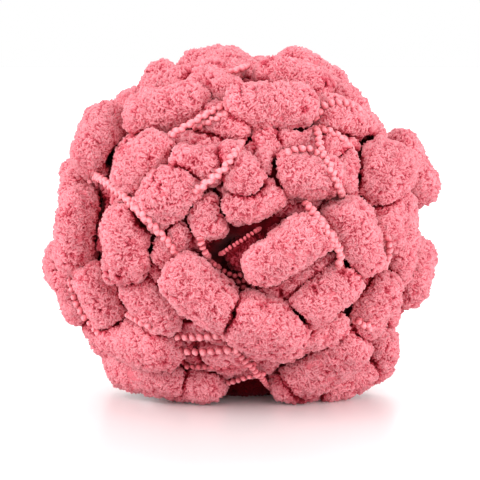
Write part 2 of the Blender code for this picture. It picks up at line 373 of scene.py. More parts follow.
# These are pearls in the gaps. The first two numbers are how deep they lie below the ball's
# surface, and how thick they are.
SUNK_PEARLS = (
    # Between the pompoms low in the middle
    (6.0, 2.9, (-26, -46), (-16, -46), (-7, -45)),
    (6.5, 3.1, (-25, -52), (-14, -52), (-2, -51)),
    (9.5, 2.6, (-22, -58), (-9, -58), (5, -57)),
    (7.5, 2.5, (-12, -66), (-6, -65), (2, -62.5), (9, -61)),
    (7.5, 2.6, (-3, -51), (3, -57), (8, -62), (11, -66)),
    # In the hollow
    (13.0, 2.1, (-7, -19), (-3, -21), (2, -20), (6, -21), (9, -22)),
    (14.5, 2.0, (-8, -21), (-3, -23.5), (2, -22.5), (5, -25)),
    (14.0, 2.1, (-7, -24), (-3, -26), (1, -25.5)),
    (15.5, 2.0, (-3, -28), (1, -28), (5, -26)),
    (13.0, 2.2, (9, -23), (13, -25), (14, -28)),
)


def unit(vector):
    """The vector made 1 long."""
    return vector / np.linalg.norm(vector)


def lengths(vectors):
    """The length of each vector, as a column."""
    return np.linalg.norm(vectors, axis=1)[:, None]


def outward(point):
    """The way straight out of the ball at a point."""
    return unit((point - BALL_MIDDLE) / BALL_RADII**2)


def sighted(right, up, sunk):
    """A point of the front given by where it is sighted, sunk below the ball's surface."""
    across = right / (BALL_RADII[0] - sunk)
    along = up / (BALL_RADII[2] - sunk)
    toward = (BALL_RADII[1] - sunk) * math.sqrt(max(0.0, 1 - across**2 - along**2))
    nearer = 1 - toward / SIGHT_DISTANCE
    return BALL_MIDDLE + (SIGHT_RIGHT * right + SIGHT_UP * up) * nearer + SIGHT_TOWARD * toward


def front_pompoms():
    """The listed pompoms: (middle, axis, length, thickness) of each."""
    placed = []
    for row in POMPOMS:
        pom = dict(zip(COLUMNS, row))
        middle = sighted(pom["right"] * MM, pom["up"] * MM, OUTER_SUNK)
        middle += SIGHT_TOWARD * pom["proud"] * MM
        nearer = 1 - float((middle - BALL_MIDDLE) @ SIGHT_TOWARD) / SIGHT_DISTANCE
        thick = pom["thick"] * MM * nearer
        middle[2] = max(middle[2], thick / 2 - PRESS)
        turn = math.radians(pom["turn"])
        level = SIGHT_RIGHT * math.cos(turn) + SIGHT_UP * math.sin(turn)
        out = outward(middle)
        follow = -float(out @ level) / max(EDGE_ON, float(out @ SIGHT_TOWARD))
        lean = math.tan(math.radians(pom["lean"]))
        axis = unit(level + SIGHT_TOWARD * (max(-STEEPEST, min(STEEPEST, follow)) + lean))
        placed.append((middle, axis, pom["length"] * MM * nearer, thick))
    return placed


def winding_way(point):
    """The way that the yarn runs over the ball at a point: in smoothly wandering bands."""
    x, y, z = (point - BALL_MIDDLE) / BALL_RADII
    wander = np.array([
        math.sin(2.3 * y + 0.4) + 0.3,
        math.cos(2.7 * z - 0.8),
        math.sin(2.1 * x + 1.9) + 0.5 * y,
    ])
    return unit(np.cross(outward(point), wander))


def golden_spiral(count):
    """Directions spread evenly over a sphere."""
    steps = np.arange(count) + 0.5
    rise = 1 - 2 * steps / count
    turn = steps * math.pi * (3 - math.sqrt(5))
    ring = np.sqrt(1 - rise**2)
    return np.stack([ring * np.cos(turn), ring * np.sin(turn), rise], axis=1)


def beads_of(placed):
    """Three points along each pompom, as one array, and how far each may reach."""
    points, reach = [], []
    for middle, axis, length, thick in placed:
        arm = (length - thick) / 2
        points += [middle - axis * arm, middle, middle + axis * arm]
        reach += [thick / 2] * 3
    return np.array(points), np.array(reach)


def on_layer(point, sunk, thick):
    """The point moved to its layer, and up to the ground where it would lie lower."""
    way = point - BALL_MIDDLE
    point = BALL_MIDDLE + way / np.linalg.norm(way / (BALL_RADII - sunk))
    point[2] = max(point[2], sunk - OUTER_SUNK + thick / 2 - PRESS)
    return point


def settled_layer(count, sunk, fixed, rng):
    """Pompoms spread over a layer, clear of the fixed ones, that push each other into place."""
    fixed_beads, fixed_reach = beads_of(fixed) if fixed else (np.zeros((0, 3)), np.zeros(0))
    placed = []
    for way in golden_spiral(count):
        length = POMPOM_LENGTH * rng.uniform(*LENGTH_SPREAD)
        thick = POMPOM_THICK * rng.uniform(*THICK_SPREAD)
        jitter = rng.normal(0, TURN_SPREAD)
        depth = sunk + rng.uniform(-1, 1) * DEPTH_SPREAD
        middle = on_layer(BALL_MIDDLE + way * BALL_RADII, depth, thick)
        if fixed and lengths(fixed_beads - middle).min() < FRONT_CLEARANCE:
            continue
        along = winding_way(middle)
        across = np.cross(outward(middle), along)
        axis = unit(along * math.cos(jitter) + across * math.sin(jitter))
        placed.append([middle, axis, length, thick, depth])
    for _ in range(PUSH_ROUNDS):
        beads, reach = beads_of([pom[:4] for pom in placed])
        everything = np.vstack([beads, fixed_beads])
        all_reach = np.concatenate([reach, fixed_reach])
        gaps = beads[:, None, :] - everything[None, :, :]
        far = np.linalg.norm(gaps, axis=2)
        near = (reach[:, None] + all_reach[None, :]) * PUSH_WITHIN - far
        own = np.arange(len(beads)) // 3
        near[own[:, None] == np.concatenate([own, np.full(len(fixed_beads), -1)])[None, :]] = 0
        ways = gaps / np.maximum(far, 1e-9)[:, :, None]
        push = (ways * np.maximum(near, 0)[:, :, None]).sum(axis=1) * PUSH_SHARE
        for index, pom in enumerate(placed):
            low, mid, high = push[3 * index:3 * index + 3]
            arm = (pom[2] - pom[3]) / 2
            pom[0] = on_layer(pom[0] + (low + mid + high) / 2, pom[4], pom[3])
            turned = pom[1] + (high - low) / (2 * arm) * TURN_SHARE
            out = outward(pom[0])
            pom[1] = unit(turned - out * (turned @ out))
    return [tuple(pom[:4]) for pom in placed]


def in_hollow(point):
    """How far into the hollow at the middle of the winding a point lies, from 0 to 1."""
    way = point - BALL_MIDDLE
    if way @ SIGHT_TOWARD < 0:
        return 0.0
    aside = math.hypot(way @ SIGHT_RIGHT - HOLLOW_RIGHT, way @ SIGHT_UP - HOLLOW_UP)
    return max(0.0, 1 - aside / HOLLOW_REACH)


def all_pompoms():
    """(outer, inner): every pompom of the ball, in its two layers."""
    rng = np.random.default_rng(7)
    front = front_pompoms()
    rest = settled_layer(OUTER_COUNT, OUTER_SUNK, front, rng)
    rest = [pom for pom in rest if (pom[0] - BALL_MIDDLE) @ SIGHT_TOWARD < FRONT_REACH]
    inner = settled_layer(INNER_COUNT, INNER_SUNK, [], rng)
    inner = [pom for pom in inner if in_hollow(pom[0]) == 0]
    return front + rest, inner


def round_ball(roundness):
    """A ball of triangles with a radius of 1, and its faces: four times as many for each step."""
    bm = bmesh.new()
    bmesh.ops.create_icosphere(bm, subdivisions=roundness, radius=1.0)
    points = np.array([vert.co for vert in bm.verts])
    faces = np.array([[vert.index for vert in face.verts] for face in bm.faces])
    bm.free()
    return points, faces


def core_points(ball):
    """The winding inside, with its dent behind the hollow."""
    points = BALL_MIDDLE + ball * (BALL_RADII - WINDING_SUNK)
    dents = [min(1.0, 2 * in_hollow(point)) * HOLLOW_EXTRA for point in points]
    return np.array([point - outward(point) * dent for point, dent in zip(points, dents)])


def barrel_points(ball, middle, axis, length, thick):
    """A ball's points drawn out to a barrel with full, rounded ends."""
    fullness = 2 / END_FULLNESS
    side = np.hypot(ball[:, 0], ball[:, 1])
    width = side**fullness / np.maximum(side, 1e-9) * thick / 2
    rise = np.sign(ball[:, 2]) * np.abs(ball[:, 2]) ** fullness * length / 2
    turn = np.array(Vector(axis).to_track_quat("Z", "Y").to_matrix())
    return middle + np.stack([ball[:, 0] * width, ball[:, 1] * width, rise], axis=1) @ turn.T


def quad_ball(cuts):
    """A ball of even squares, and its faces."""
    bm = bmesh.new()
    bmesh.ops.create_cube(bm, size=2.0)
    bmesh.ops.subdivide_edges(bm, edges=bm.edges[:], cuts=cuts, use_grid_fill=True)
    points = np.tan(np.array([vert.co for vert in bm.verts]) * math.pi / 4)
    faces = np.array([[vert.index for vert in face.verts] for face in bm.faces])
    bm.free()
    return points / np.linalg.norm(points, axis=1)[:, None], faces


def depth_inside(points, pompom):
    """How deep points lie inside a pompom, below 0 outside it."""
    middle, axis, length, thick = pompom
    away = points - middle
    along = away @ axis
    aside = lengths(away - along[:, None] * axis)[:, 0]
    full = np.abs(2 * along / length) ** END_FULLNESS + (2 * aside / thick) ** END_FULLNESS
    return (1 - full ** (1 / END_FULLNESS)) * thick / 2


def out_of(points, pompom):
    """The way straight out of a pompom at points on it."""
    middle, axis, length, thick = pompom
    away = points - middle
    along = away @ axis
    side = away - along[:, None] * axis
    aside = np.maximum(lengths(side)[:, 0], 1e-9)
    steep = END_FULLNESS - 1
    rise = np.sign(along) * np.abs(2 * along / length) ** steep / length
    spread = (2 * aside / thick) ** steep / thick / aside
    way = rise[:, None] * axis + side * spread[:, None]
    return way / lengths(way)


def waves(count, shortest, longest, seed):
    """Waves in many directions that add up to an even, unordered unevenness."""
    rng = np.random.default_rng(seed)
    ways = rng.normal(0, 1, (count, 3))
    ways *= 2 * math.pi / rng.uniform(shortest, longest, (count, 1)) / lengths(ways)
    return ways, rng.uniform(0, 2 * math.pi, count)


def unevenness(points, kind, shift=0.0):
    """The sum of the waves at each point, about 1 at most places where it is high."""
    ways, phases = kind
    return np.sin(points @ ways.T + phases + shift).sum(axis=1) / math.sqrt(len(phases) / 2)


def furrowed(points, kind, shift=0.0):
    """Rounded heights with furrows between them, from 0 in a furrow to about 1.4."""
    return np.minimum(np.abs(unevenness(points, kind, shift)), FURROW_CAP) ** FURROW_ROUND


def lit(height, light):
    """How light pile of a height is painted, with painted shade in a furrow: the least share there,
    and how fast it rises to 1.
    """
    least, rate = light
    return np.clip(least + rate * height, 0, 1)


# The reliefs: how many waves each has, its shortest and longest, and its seed.
FORM = waves(16, 14 * MM, 30 * MM, 2)
CLUMPS = waves(24, 7 * MM, 13 * MM, 6)
TUFTS = waves(24, 4 * MM, 7 * MM, 9)
CRACK_PLACES = waves(12, 8 * MM, 16 * MM, 4)
STRANDS = waves(12, 1.3 * MM, 2.6 * MM, 15)
BRUSHING = [waves(14, 9 * MM, 18 * MM, seed) for seed in (20, 21, 22)]


def cracks(index, points):
    """How far points of a pompom lie in a crack between its clumps, from 0 to 1."""
    line = np.abs(unevenness(points, CLUMPS, index * CLUMP_SHIFT))
    place = unevenness(points, CRACK_PLACES, index * CRACK_SHIFT)
    opened = np.clip(place * CRACK_OPENING + CRACK_OPEN, 0, 1)
    return np.clip(1 - line / CRACK_SHARE, 0, 1) * opened


class Pile:
    """All pompoms of the ball, and what each shows of the others."""

    def __init__(self, outer, inner):
        pompoms = outer + inner
        self.pompoms = pompoms
        self.settle = [PILE_SETTLE] * len(outer) + [INNER_SETTLE] * len(inner)
        self.middles = np.array([pompom[0] for pompom in pompoms])
        ball, faces = quad_ball(SHELL_CUTS)
        barrels = np.vstack([barrel_points(ball, *pompom) for pompom in pompoms])
        sides = faces[None] + (np.arange(len(pompoms)) * len(ball))[:, None, None]
        self.shell = BVHTree.FromPolygons(barrels.tolist(), sides.reshape(-1, 4).tolist())

    def can_be_seen(self, points, ways):
        """Whether a line from each point, raised a little along its way, gets out of the ball."""
        seen = np.zeros(len(points), dtype=bool)
        starts = points + ways * SIGHT_CLEARANCE
        straight = (points - BALL_MIDDLE) / BALL_RADII**2
        straight /= lengths(straight)
        aside = np.cross(straight, (0.3, 0.5, 0.8))
        aside /= lengths(aside)
        other = np.cross(straight, aside)
        for place, start in enumerate(starts):
            for turn, slant in SIGHT_LINES:
                lean = aside[place] * math.cos(turn) + other[place] * math.sin(turn)
                way = straight[place] * math.cos(slant) + lean * math.sin(slant)
                if self.shell.ray_cast(Vector(start), Vector(way))[0] is None:
                    seen[place] = True
                    break
        return seen

    def neighbours(self, index):
        """The pompoms that may reach into a pompom."""
        far = np.linalg.norm(self.middles - self.middles[index], axis=1)
        near = np.flatnonzero(far < NEIGHBOUR_REACH)
        return [self.pompoms[other] for other in near if other != index]

    def cover(self, index, points):
        """How deep points of a pompom lie inside its neighbours or the core."""
        core = 1 - lengths((points - BALL_MIDDLE) / (BALL_RADII - CORE_SUNK))[:, 0]
        deepest = core * (BALL_RADII[0] - CORE_SUNK)
        for other in self.neighbours(index):
            deepest = np.maximum(deepest, depth_inside(points, other))
        return deepest

    def relief(self, index, points, cover):
        """Points moved from the barrel to its lumpy surface, the ways out, and how light they are
        painted, with painted shade in the furrows.
        """
        out = out_of(points, self.pompoms[index])
        clump = furrowed(points, CLUMPS, index * CLUMP_SHIFT)
        tuft = furrowed(points, TUFTS, index * TUFT_SHIFT)
        rise = unevenness(points, FORM, index * FORM_SHIFT) * FORM_RISE - self.settle[index]
        rise += (clump - FURROW_LEVEL) * CLUMP_RISE + (tuft - FURROW_LEVEL) * TUFT_RISE
        rise -= CREASE_DEPTH * np.clip(1 + cover / CREASE_REACH, 0, 1) ** 2
        # Painted shade: darker in the furrows between the tufts and the clumps.
        light = lit(tuft, TUFT_LIGHT) * lit(clump, CLUMP_LIGHT)
        return points + out * rise[:, None], out, light

    def surface(self):
        """The lumpy surface of the whole ball, for the cord to lie on."""
        ball, faces = quad_ball(SKIN_CUTS)
        points = []
        for index, pompom in enumerate(self.pompoms):
            barrel = barrel_points(ball, *pompom)
            points.append(self.relief(index, barrel, self.cover(index, barrel))[0])
        sides = faces[None] + (np.arange(len(points)) * len(ball))[:, None, None]
        return BVHTree.FromPolygons(np.vstack(points).tolist(), sides.reshape(-1, 4).tolist())


def gap_shade(cover):
    """1 in the open, less where the pile is squeezed into a gap between pompoms."""
    return 1 - GAP_SHADE * np.clip(1 + cover / GAP_SHADE_REACH, 0, 1) ** 2


def deep_shade(points):
    """1 in the open, less deep in the ball and in under it, where little light comes."""
    away = points - BALL_MIDDLE
    depth = (1 - lengths(away / BALL_RADII)[:, 0]) * BALL_RADII[0]
    deep = np.clip((depth - DEEP_FROM) / (DEEP_TO - DEEP_FROM), 0, 1)
    from_middle = np.hypot(away[:, 0], away[:, 1] - UNDER_BACK)
    inward = np.clip((UNDER_REACH - from_middle) / UNDER_EDGE, 0, 1)
    under = inward * np.clip((UNDER_HIGH - points[:, 2]) / UNDER_FADE, 0, 1)
    return 1 - DEEP_SHADE * np.maximum(deep, under)


def skin_of(pile, index, ball, faces):
    """The part of a pompom's skin that can show: points, faces, and how light the pile is painted."""
    points = barrel_points(ball, *pile.pompoms[index])
    cover = pile.cover(index, points)
    faces = faces[(cover[faces] < HIDDEN_SKIN).any(axis=1)]
    used = np.unique(faces)
    place = np.zeros(len(points), dtype=int)
    place[used] = np.arange(len(used))
    points, cover = points[used], cover[used]
    crack = cracks(index, points)
    raised, out, light = pile.relief(index, points, cover)
    # Painted shade: the skin darker than the locks, and darker still in cracks, in gaps, deep in the
    # ball and under it.
    light = SKIN_LIGHT * light * (1 - crack) * gap_shade(cover) * deep_shade(raised)
    faces = place[faces]
    shown = pile.can_be_seen(points, out)[faces].any(axis=1)
    return raised - out * (SKIN_SUNK + crack * CRACK_DEPTH)[:, None], faces[shown], light


def lock_spots(pile, index, ball, faces, coarse, rng):
    """Where the locks of a pompom stand: evenly spread, only where they can show."""
    corners = barrel_points(ball, *pile.pompoms[index])[faces]
    area = lengths(np.cross(corners[:, 2] - corners[:, 0], corners[:, 3] - corners[:, 1]))[:, 0] / 2
    count = np.floor(area / LOCK_AREA / coarse**2 + rng.uniform(0, 1, len(faces))).astype(int)
    chosen = np.repeat(np.arange(len(faces)), count)
    across, along = rng.uniform(0, 1, (2, len(chosen), 1))
    near = corners[chosen, 0] * (1 - across) + corners[chosen, 1] * across
    far = corners[chosen, 3] * (1 - across) + corners[chosen, 2] * across
    points = near * (1 - along) + far * along
    cover = pile.cover(index, points)
    crack = cracks(index, points)
    shown = (cover < HIDDEN_LOCK) & (crack < CRACK_BARE) & (points[:, 2] > -HIDDEN_LOCK)
    points, cover, crack = points[shown], cover[shown], crack[shown]
    raised, out, light = pile.relief(index, points, cover)
    # Painted shade in the cracks.
    light *= 1 - CRACK_SHADE * crack
    raised -= out * (crack * CRACK_DEPTH / 2)[:, None]
    shown = pile.can_be_seen(points, out)
    return raised[shown], out[shown], (light * gap_shade(cover) * deep_shade(raised))[shown]


def lock_shape():
    """One lock of pile lying along X with its roots at Z = 0: points and triangles."""
    bm = bmesh.new()
    bmesh.ops.create_cube(bm, size=2.0)
    bottom = [face for face in bm.faces if face.normal.z < -0.5]
    bmesh.ops.delete(bm, geom=bottom, context="FACES_ONLY")
    top = [vert for vert in bm.verts if vert.co.z > 0.5]
    bmesh.ops.scale(bm, vec=LOCK_TOP, verts=top)
    bmesh.ops.remove_doubles(bm, verts=top, dist=0.01)
    bmesh.ops.triangulate(bm, faces=bm.faces[:])
    bm.verts.index_update()
    points = np.array([vert.co for vert in bm.verts])
    faces = np.array([[vert.index for vert in face.verts] for face in bm.faces])
    bm.free()
    points[:, 2] = np.maximum(points[:, 2], 0)
    return points, faces


def locks_on(spots, out, shade, shape, faces, coarse, rng):
    """A lock at every spot, brushed the same way as those near it: points, faces and lightness."""
    count = len(spots)
    brushed = np.stack([unevenness(spots, kind) for kind in BRUSHING], axis=1)
    brushed -= out * (brushed * out).sum(axis=1)[:, None]
    brushed /= lengths(brushed)
    turn = rng.normal(0, LOCK_STRAY, (count, 1))
    along = brushed * np.cos(turn) + np.cross(out, brushed) * np.sin(turn)
    across = np.cross(out, along)
    long = along * rng.uniform(*LOCK_LONG_SPREAD, (count, 1)) * LOCK_LONG / 2 * coarse
    wide = across * rng.uniform(*LOCK_WIDE_SPREAD, (count, 1)) * LOCK_WIDE / 2 * coarse
    tall = rng.uniform(*LOCK_TALL_SPREAD, (count, 1)) ** 2 * LOCK_TALL
    bend = across * rng.uniform(-LOCK_BEND, LOCK_BEND, (count, 1)) * LOCK_WIDE / 2
    points = np.empty((count, len(shape), 3))
    for corner, (x, y, z) in enumerate(shape):
        points[:, corner] = spots + long * x + wide * y
        points[:, corner] += out * (tall * z if z > 0 else -LOCK_ROOT) + bend * z * np.sign(x)
    faces = faces[None] + (np.arange(count) * len(shape))[:, None, None]
    # Painted shade: the roots of each lock are coloured darker than its ridge.
    light = np.where(shape[:, 2] > 0, 1.0, ROOT_LIGHT)
    shade = shade * rng.uniform(*LOCK_LIGHT_SPREAD, count)
    return points.reshape(-1, 3), faces.reshape(-1, 3), (shade[:, None] * light).ravel()


# The map for baking: the margin round a patch in its square, and a square's and a triangle's
# corners in it.
PATCH_MARGIN = 0.1
SQUARE = np.array([(0, 0), (1, 0), (1, 1), (0, 1)])
CORNER = np.array([(0.1, 0.1), (0.9, 0.1), (0.1, 0.9)])


def mesh_piece(name, points, face_sets, lightness, patches):
    """An object of joined faces, with how light each point is painted, which carries the painted light
    and shade, and its map for baking.

    patches has a pair for each kind of patch, in the faces' order: how many there are, and the
    corners of one in its own square of the map.
    """
    mesh = bpy.data.meshes.new(name)
    corners = np.concatenate([faces.ravel() for faces in face_sets])
    sizes = np.concatenate([np.full(len(faces), faces.shape[1]) for faces in face_sets])
    mesh.vertices.add(len(points))
    mesh.vertices.foreach_set("co", points.astype(np.float32).ravel())
    mesh.loops.add(len(corners))
    mesh.loops.foreach_set("vertex_index", corners.astype(np.int32))
    mesh.polygons.add(len(sizes))
    mesh.polygons.foreach_set("loop_start", (np.cumsum(sizes) - sizes).astype(np.int32))
    mesh.update(calc_edges=True)
    mesh.shade_smooth()
    light = mesh.attributes.new("lightness", "FLOAT", "POINT")
    light.data.foreach_set("value", lightness.astype(np.float32))
    total = sum(count for count, _ in patches)
    side = math.ceil(math.sqrt(total))
    places, first = [], 0
    for count, local in patches:
        cell = first + np.arange(count)
        origin = np.stack([cell % side, cell // side], axis=1)[:, None, :]
        inside = PATCH_MARGIN + (1 - 2 * PATCH_MARGIN) * local[None]
        places.append((origin + inside).reshape(-1, 2) / side)
        first += count
    places = np.concatenate(places).astype(np.float32)
    mesh.uv_layers.new(name="OFBake").data.foreach_set("uv", places.ravel())
    piece = bpy.data.objects.new(name, mesh)
    bpy.context.scene.collection.objects.link(piece)
    return piece


def soften_normals(piece, first, out, share):
    """Turns the shading of the locks part of the way to the ways out of their pompoms."""
    normals = np.empty((len(piece.data.vertices), 3), dtype=np.float32)
    piece.data.vertex_normals.foreach_get("vector", normals.ravel())
    normals[first:] = normals[first:] * (1 - share) + out * share
    normals /= lengths(normals)
    piece.data.normals_split_custom_set_from_vertices(normals)


def pompom_piece(name, pile, indices, coarse, rng):
    """One piece of several pompoms: their skins, with the locks of pile standing on them."""
    skin_ball, skin_faces = quad_ball(SKIN_CUTS)
    spot_ball, spot_faces = quad_ball(SPOT_CUTS)
    shape, shape_faces = lock_shape()
    points, quads, light, spots, outs, shades, first = [], [], [], [], [], [], 0
    for index in indices:
        skin, faces, lightness = skin_of(pile, index, skin_ball, skin_faces)
        points.append(skin)
        quads.append(faces + first)
        light.append(lightness)
        first += len(skin)
        places, out, shade = lock_spots(pile, index, spot_ball, spot_faces, coarse, rng)
        spots.append(places)
        outs.append(out)
        shades.append(shade)
    spots, outs, shades = np.vstack(spots), np.vstack(outs), np.concatenate(shades)
    locks, triangles, lock_light = locks_on(spots, outs, shades, shape, shape_faces, coarse, rng)
    quads = np.vstack(quads)
    points = np.vstack(points + [locks])
    points[:, 2] = np.maximum(points[:, 2], 0)
    seen_from_above = (shape[shape_faces.ravel(), :2] + 1) / 2
    patches = ((len(quads), SQUARE), (len(spots), seen_from_above))
    light = np.concatenate(light + [lock_light])
    piece = mesh_piece(name, points, (quads, triangles + first), light, patches)
    soften_normals(piece, first, np.repeat(outs, len(shape), axis=0), LOCK_SOFTNESS)
    return piece


def core_piece():
    """The tight winding deep inside, lumpy with pile as well, which shows in the deepest gaps, painted
    nearly black as painted shade.
    """
    ball, faces = round_ball(CORE_ROUNDNESS)
    points = core_points(ball)
    tuft = furrowed(points, TUFTS)
    points -= ball * ((CORE_TOP - tuft) * CORE_LUMPS)[:, None]
    return mesh_piece("wound_core", points, (faces,), CORE_LIGHT * tuft**2, ((len(faces), CORNER),))


def evenly_spaced(corners, step):
    """Points about a step apart along a line through the corners."""
    corners = np.array(corners, dtype=float)
    along = np.concatenate([[0], np.cumsum(np.linalg.norm(np.diff(corners, axis=0), axis=1))])
    places = np.linspace(0, along[-1], max(3, round(along[-1] / step) + 1))
    return np.stack([np.interp(places, along, column) for column in corners.T], axis=1)


def pulled_tight(heights):
    """Heights along a run, raised to the line that a tight cord takes over them."""
    line = heights.copy()
    for start in range(len(heights)):
        for end in range(start + 2, len(heights)):
            share = np.linspace(0, 1, end - start + 1)[1:-1]
            level = heights[start] + (heights[end] - heights[start]) * share
            line[start + 1:end] = np.maximum(line[start + 1:end], level)
    return line


def height_of(surface, base, way):
    """How high the surface is over a point along a way, below 0 under it."""
    met = surface.ray_cast(Vector(base + way * BALL_WIDTH), Vector(-way))[0]
    return -CORD_DIVE if met is None else float((np.array(met) - base) @ way)


def laid_cord(surface, bases, ways):
    """Points of a cord laid on what lies under its bases, which are met against the ways."""
    heights = []
    for base, way in zip(bases, ways):
        heights.append(max(-CORD_DIVE, height_of(surface, base, way)))
    heights = np.array(heights)
    line = np.minimum(pulled_tight(heights), heights + CORD_SLACK)
    padded = np.pad(line, CORD_ROUND // 2, mode="edge")
    line = np.convolve(padded, np.ones(CORD_ROUND) / CORD_ROUND, mode="valid")
    from_end = np.minimum(np.arange(len(line)), np.arange(len(line))[::-1]) * CORD_STEP
    dive = END_DIVE * np.clip(1 - from_end / END_REACH, 0, 1) ** 2
    return bases + ways * (line + CORD_PROUD - dive)[:, None]


def front_runs(surface, table):
    """The cord's runs over the front, each as points."""
    eye = BALL_MIDDLE + SIGHT_TOWARD * SIGHT_DISTANCE
    runs = []
    for run in table:
        places = evenly_spaced(np.array(run) * MM, CORD_STEP)
        bases = np.array([sighted(right, up, 0) for right, up in places])
        runs.append(laid_cord(surface, bases, np.array([unit(eye - base) for base in bases])))
    return runs


def other_runs(surface):
    """The cord's runs elsewhere, each from one gap between pompoms over to another."""
    spots = []
    for way in golden_spiral(GAP_PLACES):
        base = BALL_MIDDLE + way * BALL_RADII
        if (base - BALL_MIDDLE) @ SIGHT_TOWARD > FRONT_REACH or base[2] < POMPOM_THICK:
            continue
        spots.append((base, -height_of(surface, base, outward(base))))
    gaps = [
        base for base, depth in spots
        if depth > GAP_DEPTH and all(
            depth >= other for place, other in spots if np.linalg.norm(place - base) < GAP_REACH)]
    runs, free = [], list(range(len(gaps)))
    while free:
        start = free.pop(0)
        spans = [(abs(np.linalg.norm(gaps[end] - gaps[start]) - CORD_SPAN), end) for end in free]
        if spans and min(spans)[0] < CORD_SPAN_SPREAD:
            end = min(spans)[1]
            free.remove(end)
            line = evenly_spaced([gaps[start], gaps[end]], CORD_STEP) - BALL_MIDDLE
            bases = BALL_MIDDLE + line / np.linalg.norm(line / BALL_RADII, axis=1)[:, None]
            runs.append(laid_cord(surface, bases, np.array([outward(base) for base in bases])))
    return runs


def twisted(run, rng):
    """The knots of a twisted run: (middle, long way, length, thickness, lightness) of each."""
    places = evenly_spaced(run, KNOT_PITCH)
    ways = np.gradient(places, axis=0)
    knots = []
    for index, (place, way) in enumerate(zip(places, ways)):
        side = unit(np.cross(way, outward(place)))
        aside = side * (1 if index % 2 else -1) * PLY_OFFSET * rng.uniform(*PLY_SPREAD)
        slant = KNOT_SLANT + rng.normal(0, KNOT_STRAY)
        size = rng.uniform(*KNOT_SPREAD)
        long_way = unit(unit(way) + side * math.tan(slant))
        knots.append((place + aside, long_way, KNOT_LONG * size, KNOT_THICK * size, 1.0))
    return knots


def pearls(run, thick, length, lightness, rng):
    """The round or flat knots of a run, as the twisted ones are given."""
    places = evenly_spaced(run, length * PEARL_PITCH)
    ways = np.gradient(places, axis=0)
    sizes = rng.uniform(*PEARL_SPREAD, len(places))
    return [
        (place, unit(way), length * size, thick * size, lightness)
        for place, way, size in zip(places, ways, sizes)
    ]


def sunk_pearls(rng):
    """The knots of the runs that lie in the gaps, with painted shade that is darker the deeper they
    lie.
    """
    knots = []
    for sunk, thick, *corners in SUNK_PEARLS:
        places = evenly_spaced(np.array(corners) * MM, CORD_STEP)
        run = [sighted(right, up, sunk * MM) for right, up in places]
        lightness = max(PEARL_LEAST, 1 - PEARL_SHADE * max(0, sunk - PEARL_OPEN))
        knots += pearls(run, thick * MM, thick * MM, lightness, rng)
    return knots


def laid_pearls(surface, rng):
    """The knots of the pearl runs and the flat runs that lie on the pompoms."""
    knots = []
    for run in front_runs(surface, LAID_PEARLS):
        knots += pearls(run, PEARL_THICK, PEARL_THICK, 1.0, rng)
    flat = front_runs(surface, [corners for _, _, _, *corners in FLAT_RUNS])
    for (lightness, thick, length, *_), run in zip(FLAT_RUNS, flat):
        knots += pearls(run, thick * MM, length * MM, lightness, rng)
    return knots


def cord_piece(name, knots):
    """One piece of joined knots."""
    ball, faces = round_ball(KNOT_ROUNDNESS)
    points, light = [], []
    for middle, way, length, thick, lightness in knots:
        turn = np.array(Vector(way).to_track_quat("Z", "Y").to_matrix())
        knot = ball * (thick / 2, thick / 2, length / 2) @ turn.T
        rough = KNOT_ROUGH * unevenness(middle + knot, STRANDS)
        points.append(middle + knot * (1 + rough)[:, None])
        # Painted light and shade: each knot lighter on top, darker at its underside and towards its
        # ends.
        rise = ball @ turn.T @ outward(middle)
        top = np.clip(KNOT_OPEN + KNOT_TOP * rise, KNOT_LEAST, 1)
        light.append(lightness * (1 - KNOT_SHADE * ball[:, 2] ** 2) * top)
    points = np.vstack(points)
    points[:, 2] = np.maximum(points[:, 2], 0)
    joined = (faces[None] + (np.arange(len(knots)) * len(ball))[:, None, None]).reshape(-1, 3)
    return mesh_piece(name, points, (joined,), np.concatenate(light), ((len(joined), CORNER),))


def linear(code, alpha=1.0):
    """An sRGB hex colour as the linear colour that Blender works in."""
    parts = [int(code[place:place + 2], 16) / 255 for place in (1, 3, 5)]
    parts = [part / 12.92 if part <= 0.04045 else ((part + 0.055) / 1.055) ** 2.4 for part in parts]
    return (*parts, alpha)


def add_node(tree, kind, links=(), **settings):
    """Adds a node, sets it up, and links (socket of the node, output of another) pairs to it."""
    node = tree.nodes.new(kind)
    for name, value in settings.items():
        if name in node.inputs:
            node.inputs[name].default_value = value
        else:
            setattr(node, name, value)
    for socket, source in links:
        tree.links.new(source, node.inputs[socket])
    return node


